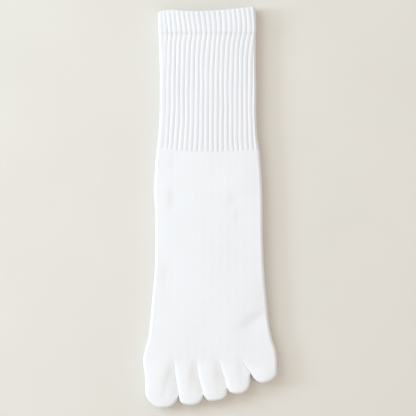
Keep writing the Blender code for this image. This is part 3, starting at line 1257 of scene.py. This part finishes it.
    def round_section(
        self,
        breaks: np.ndarray,
        left: np.ndarray,
        right: np.ndarray,
        left_blunt: np.ndarray | float = ELLIPSE,
        right_blunt: np.ndarray | float = ELLIPSE,
        low_fold: np.ndarray | float = 0.0,
    ) -> tuple[np.ndarray, np.ndarray, np.ndarray]:
        """X, the share of the height, and the place on the top or bottom, once around each row.

        A side is a quarter of a superellipse above and below its middle: an ellipse where its
        bluntness is 2, and an upright wall with a tight round corner where it is 4 or more.

        Args:
            breaks: rows by arcs + 1, the X at which the level faces start, divide and end.
            left: X of the left fold for each row, as a column.
            right: X of the right fold for each row, as a column.
            left_blunt: the left side's exponent for each row.
            right_blunt: the right side's exponent for each row.
            low_fold: the least width of the lower layer's folds for each row.
        Returns:
            X of each point, its share of the way from the lower to the upper layer, and the X at
            which that layer's height is read.
        """
        arcs = breaks.shape[1] - 1
        angle = np.linspace(-math.pi / 2, math.pi / 2, self.side_points + 1)[:-1][None]
        lift = np.abs(np.sin(angle))
        left_in = 1 - (1 - lift**left_blunt) ** (1 / left_blunt)
        right_in = 1 - (1 - lift**right_blunt) ** (1 / right_blunt)
        low_breaks = self.curled(breaks, left, right, low_fold)
        below = angle < 0
        left_reach = np.where(below, low_breaks[:, :1], breaks[:, :1]) - left
        right_reach = right - np.where(below, low_breaks[:, -1:], breaks[:, -1:])
        left_x = left + left_reach * left_in
        right_x = right - right_reach[:, ::-1] * right_in
        eased = (1 - np.cos(np.linspace(0, math.pi, self.top_points + 1)[:-1])) / 2
        even = np.linspace(0, 1, self.bottom_points + 1)[:-1]
        widths = np.diff(breaks, axis=1)[..., None]
        top_x = (breaks[:, :-1, None] + widths * eased).reshape(len(breaks), -1)
        low_widths = np.diff(low_breaks, axis=1)[..., None]
        low_x = (low_breaks[:, 1:, None] - low_widths * even)[:, ::-1].reshape(len(breaks), -1)
        x = np.concatenate((left_x, top_x, right_x, low_x), axis=1)
        share = np.broadcast_to(self.column_shares(arcs)[None], x.shape)
        read = np.concatenate(
            (
                np.broadcast_to(breaks[:, :1], left_x.shape),
                top_x,
                np.broadcast_to(breaks[:, -1:], right_x.shape),
                low_x,
            ),
            axis=1,
        )
        return x, share, read

    def curled(
        self, breaks: np.ndarray, left: np.ndarray, right: np.ndarray, least: np.ndarray | float
    ) -> np.ndarray:
        """The lower layer's breaks: the outer ones lie further in by the curl, short of the middle.

        Args:
            breaks: the upper layer's breaks for each row.
            left: X of the left fold for each row, as a column.
            right: X of the right fold for each row, as a column.
            least: the least width of the lower layer's folds.
        Returns:
            Breaks in the shape of the given ones.
        """
        most = self.curl_most * (right - left)
        folds = np.concatenate((breaks[:, :1] - left, right - breaks[:, -1:]), axis=1)
        folds = np.minimum(np.maximum(folds * self.outline.curl, least), most)
        return np.concatenate((left + folds[:, :1], breaks[:, 1:-1], right - folds[:, 1:]), axis=1)

    def foot_skin(self, rows: np.ndarray, inset: float) -> np.ndarray:
        """One skin of the foot. The columns follow the creases' roots up to the ankle.

        Args:
            rows: each ring's place along the sock.
            inset: the distance from the outer skin.
        Returns:
            Rows by columns by 3.
        """
        rows = rows[:, None]
        left, right = self.outline.spans(rows)
        toe_left, toe_right = self.outline.spans(np.array([[TOE_Y]]))
        left, right = left + inset, right - inset
        shares = [(crease.root - toe_left) / (toe_right - toe_left) for crease in self.creases]
        starts = left + max(self.outline.left_fold - inset, self.foot_lining_fold)
        ends = right - max(self.outline.right_fold - inset, self.foot_lining_fold)
        inner = [left - inset + share * (right - left + 2 * inset) for share in shares]
        breaks = np.concatenate([starts, *inner, ends], axis=1)
        x, share, read = self.round_section(breaks, left, right)
        y, lateral = self.outline.place_rows(rows, x)
        top = self.top(read, y, lateral)
        z = inset + (top - 2 * inset) * share
        if inset == 0:
            z = z + self.heel.recess(x, y) * (share == 0)
        return np.stack((x, y, z), axis=2)

    def foot(self) -> bpy.types.Object:
        """Builds the foot, open at both ends.

        Returns:
            The foot's object.
        """
        around_heel = np.linspace(ANKLE_Y, self.heel_zone_end, self.heel_zone_rows)
        plain = np.linspace(self.heel_zone_end, TOE_Y + self.groove_zone, self.plain_rows)
        grooves = np.linspace(TOE_Y + self.groove_zone, TOE_Y, self.groove_rows)
        rows = np.concatenate((around_heel[:-1], plain[:-1], grooves))
        outer = self.foot_skin(rows, 0.0)
        inner = self.foot_skin(np.append(rows[: -1 : self.foot_step], rows[-1]), self.wall)
        grid = np.concatenate((outer, inner[::-1]))
        last = len(outer) - 1
        middle = self.side_points + 2 * self.top_points + self.top_points // 2
        shares = self.column_shares(len(self.toes))
        numbers = wale_course(grid, shares, self.foot_height, middle, grid[:, middle, 0], PLAIN_KNIT)
        return make_piece("knitted_foot", grid, numbers, Ends.JOINED, (0, last, last + 1, len(grid) - 1))

    def toe_side(self, number: int, depths: np.ndarray, inset: float, right: bool) -> ToeSide:
        """One side of a toe pocket at depths below the toe line.

        It keeps to its crease, or to the sock's own fold at the outer toes. From the shoulder on, its
        distance from the apex is that at the shoulder times (1 - t to the roundness) to the power of
        1 over the roundness. Along a crease it stands upright against the next toe, with only a
        small fold; past the crease's end it is round.

        Args:
            number: the toe's number, from the big toe.
            depths: distances below the toe line, as a column.
            inset: the distance from the outer skin.
            right: whether the side is the one at +X.
        Returns:
            The side's X, fold and bluntness for each depth.
        """
        toe = self.toes[number]
        crease = number if right else number - 1
        turned = 1.0 if right else -1.0
        held = np.minimum(depths, toe.shoulder)
        if 0 <= crease < len(self.creases):
            gap = self.toe_gap * smooth_step(depths / self.gap_start)
            start = self.crease_x(crease, held) - turned * gap
            past_end = depths - self.creases[crease].depth
            free = smooth_step((past_end + self.free_lead) / self.free_reach)
            root = self.contact_fold * smooth_step(depths / self.contact_start)
            fold = root + (self.side_fold - root) * free
            blunt = self.contact_blunt + (ELLIPSE - self.contact_blunt) * free
        else:
            start = self.outline.fold(TOE_Y - held, "right" if right else "left")
            root = self.outline.right_fold if right else self.outline.left_fold
            reach = toe.shoulder * self.outer_share
            free = smooth_step((depths - toe.shoulder + reach) / reach)
            fold = root + (self.side_fold - root) * free
            blunt = np.full_like(depths, ELLIPSE)
        t = np.clip((depths - toe.shoulder) / (toe.length - inset - toe.shoulder), 0, 1)
        roundness = toe.right_round if right else toe.left_round
        narrow = (1 - t**roundness) ** (1 / roundness)
        half = (turned * (start - toe.apex) - inset) * narrow
        steep = np.gradient(half[:, 0], depths[:, 0])[:, None] * (depths > toe.shoulder)
        least = 0.0 if inset == 0 else self.toe_lining_fold
        fold = np.minimum(np.maximum(fold - inset, least) * np.sqrt(1 + steep**2), half)
        return ToeSide(toe.apex + turned * half, fold, blunt)

    def toe_skin(self, number: int, depths: np.ndarray, inset: float) -> np.ndarray:
        """One skin of a toe pocket.

        Within a fold of its end the upper layer falls to the tip's middle height as a quarter
        ellipse, and the lower one rises to it over a longer way.

        Args:
            number: the toe's number, from the big toe.
            depths: each ring's distance below the toe line.
            inset: the distance from the outer skin.
        Returns:
            Rows by columns by 3.
        """
        toe = self.toes[number]
        depths = depths[:, None]
        left = self.toe_side(number, depths, inset, False)
        right = self.toe_side(number, depths, inset, True)
        breaks = np.concatenate((left.x + left.fold, right.x - right.fold), axis=1)
        low_fold = self.low_fold * smooth_step(depths / self.low_start)
        x, share, read = self.round_section(
            breaks, left.x, right.x, left.blunt, right.blunt, low_fold
        )
        y = np.broadcast_to(TOE_Y - depths, x.shape)
        foot_left, foot_right = self.outline.spans(np.array([[TOE_Y]]))
        lateral = (2 * x - foot_left - foot_right) / (foot_right - foot_left)
        own = (2 * read - left.x - right.x) / np.maximum(right.x - left.x, self.least_width)
        mixed = smooth_step(depths / self.dome_start)
        flat = self.top(read, y, lateral)
        domed = toe.height + self.toe_crown * (1 - own**2) - self.hollows(read, y)
        top = flat + (domed - flat) * mixed - inset
        left_over = (toe.length - inset - depths) / self.tip_fold
        full = np.sqrt(1 - (1 - np.clip(left_over, 0, 1)) ** 2)
        full_below = np.sqrt(1 - (1 - np.clip(left_over / self.tip_curl, 0, 1)) ** 2)
        middle = self.tip_middle * toe.height
        low = middle + (inset - middle) * full_below
        z = low + (middle + (top - middle) * full - low) * share
        return np.stack((x, y, z), axis=2)

    def toe(self, number: int) -> bpy.types.Object:
        """Builds a toe pocket, closed at its tip and open to the foot.

        Args:
            number: the toe's number, from the big toe.
        Returns:
            The pocket's object.
        """
        toe = self.toes[number]
        root_rows = np.linspace(0, self.root_zone, self.root_rows)
        further = np.linspace(self.root_zone, toe.shoulder, self.toe_rows)[1:]
        straight = np.concatenate((root_rows, further))
        angles = np.radians(np.linspace(0, self.tip_turn, self.tip_rows))[1:]
        outer_depths = np.append(straight, toe.shoulder + (toe.length - toe.shoulder) * np.sin(angles))
        inner_tip = toe.length - self.wall - toe.shoulder
        inner_angles = angles[:: self.tip_step]
        inner_depths = np.append(
            straight[:: self.toe_step], toe.shoulder + inner_tip * np.sin(inner_angles)
        )
        outer = self.toe_skin(number, outer_depths, 0.0)
        inner = self.toe_skin(number, inner_depths, self.wall)
        grid = np.concatenate((inner[::-1], outer))
        start = len(inner) - 1
        middle = self.side_points + self.top_points // 2
        root = np.full(len(grid), outer[0, middle, 0])
        numbers = wale_course(grid, self.column_shares(1), toe.height, middle, root, PLAIN_KNIT)
        numbers[..., 1] -= numbers[start + 1, 0, 1]
        poles = (self.toe_end(inner[-1]), self.toe_end(outer[-1]))
        return make_piece("knitted_" + toe.node, grid, numbers, Ends.POLES, (start, start + 1), poles)

    def toe_end(self, ring: np.ndarray) -> np.ndarray:
        """The point that closes a pocket: the middle of its last ring, a hair further on."""
        return ring.mean(axis=0) - (0.0, self.pole_step, 0.0)

    def build(self, knit: bpy.types.Material) -> list[bpy.types.Object]:
        """Builds the foot and the toes, and dresses them.

        Args:
            knit: the plain knit.
        Returns:
            The foot and the five toe pockets.
        """
        pieces = [self.foot()]
        dress(pieces[0], knit, "foot")
        for number, toe in enumerate(self.toes):
            pieces.append(self.toe(number))
            dress(pieces[-1], knit, toe.node)
        return pieces


@dataclass(frozen=True)
class SoftLight:
    """A square soft light that faces the sock: its bearing from +X and its height in degrees."""

    name: str
    bearing: float
    elevation: float
    size: float
    distance: float
    power: float
    colour: str

    def build(self) -> bpy.types.Object:
        """Makes the light and turns it to the origin.

        Returns:
            The light's object.
        """
        bearing, elevation = math.radians(self.bearing), math.radians(self.elevation)
        flat = self.distance * math.cos(elevation)
        data = bpy.data.lights.new(self.name, "AREA")
        data.shape = "SQUARE"
        data.size = self.size
        data.energy = self.power
        data.color = linear(self.colour)[:3]
        made = bpy.data.objects.new(self.name, data)
        made.location = (
            flat * math.cos(bearing),
            flat * math.sin(bearing),
            self.distance * math.sin(elevation),
        )
        made.rotation_euler = made.location.to_track_quat("Z", "Y").to_euler()
        bpy.context.scene.collection.objects.link(made)
        return made


@dataclass(frozen=True)
class Studio:
    """A pale floor, soft window light from the left and a warm even room, seen from above."""

    floor_side: float = 6.0
    floor_drop: float = 0.0003
    view_width: float = 0.3494
    view_height: float = 0.0045
    lens: float = 100.0
    sensor: float = 36.0
    centre: tuple[float, float] = (-0.0012, -0.0007)
    room_colour: str = "#FFF6ED"
    room_strength: float = 0.765
    lights: tuple[SoftLight, ...] = (
        SoftLight("wide_window", 150.0, 35.0, 1.45, 1.9, 19.6, "#DEF1FF"),
        SoftLight("low_window", 174.0, 20.0, 0.37, 1.9, 13.4, "#D5EBFF"),
    )

    def floor(self) -> bpy.types.Object:
        """Makes a level sheet of backdrop paper, just under the sock.

        Returns:
            The floor's object.
        """
        reach = self.floor_side / 2
        mesh = bpy.data.meshes.new("backdrop")
        corners = [(-reach, -reach), (reach, -reach), (reach, reach), (-reach, reach)]
        mesh.from_pydata([(x, y, -self.floor_drop) for x, y in corners], [], [(0, 1, 2, 3)])
        mesh.materials.append(MattPaper().material())
        made = bpy.data.objects.new("backdrop", mesh)
        bpy.context.scene.collection.objects.link(made)
        return made

    def room(self) -> None:
        """The even light of a pale room, from all sides."""
        world = bpy.data.worlds.new("pale_room")
        bpy.context.scene.world = world
        world.use_nodes = True
        light = world.node_tree.nodes["Background"]
        light.inputs["Color"].default_value = linear(self.room_colour)
        light.inputs["Strength"].default_value = self.room_strength

    def camera(self) -> bpy.types.Object:
        """Makes a long lens straight above, its frame as wide as the photograph's at the sock's height.

        Returns:
            The camera's object.
        """
        data = bpy.data.cameras.new("camera")
        data.lens = self.lens
        data.sensor_width = self.sensor
        data.clip_start = 0.01
        data.clip_end = 50.0
        made = bpy.data.objects.new("camera", data)
        reach = self.view_width * self.lens / self.sensor + self.view_height
        made.location = (self.centre[0], self.centre[1], reach)
        bpy.context.scene.collection.objects.link(made)
        bpy.context.scene.camera = made
        return made

    def build(self) -> None:
        """Builds the floor, the lights and the camera."""
        self.floor()
        self.room()
        for light in self.lights:
            light.build()
        self.camera()
        bpy.context.scene.view_settings.view_transform = "Standard"
        bpy.context.scene.view_settings.look = "None"


def main() -> None:
    """Builds the sock's pieces in order, from the cuff to the toes, then the studio."""
    logging.basicConfig(level=logging.INFO, format="%(name)s %(message)s")
    outline = Outline()
    heel = TurnedHeel()
    RibbedCuff(outline).build(RIB_KNIT.material())
    PlainFoot(outline, heel).build(PLAIN_KNIT.material())
    heel.build(HEEL_KNIT.material())
    Studio().build()


if __name__ == "__main__":
    main()
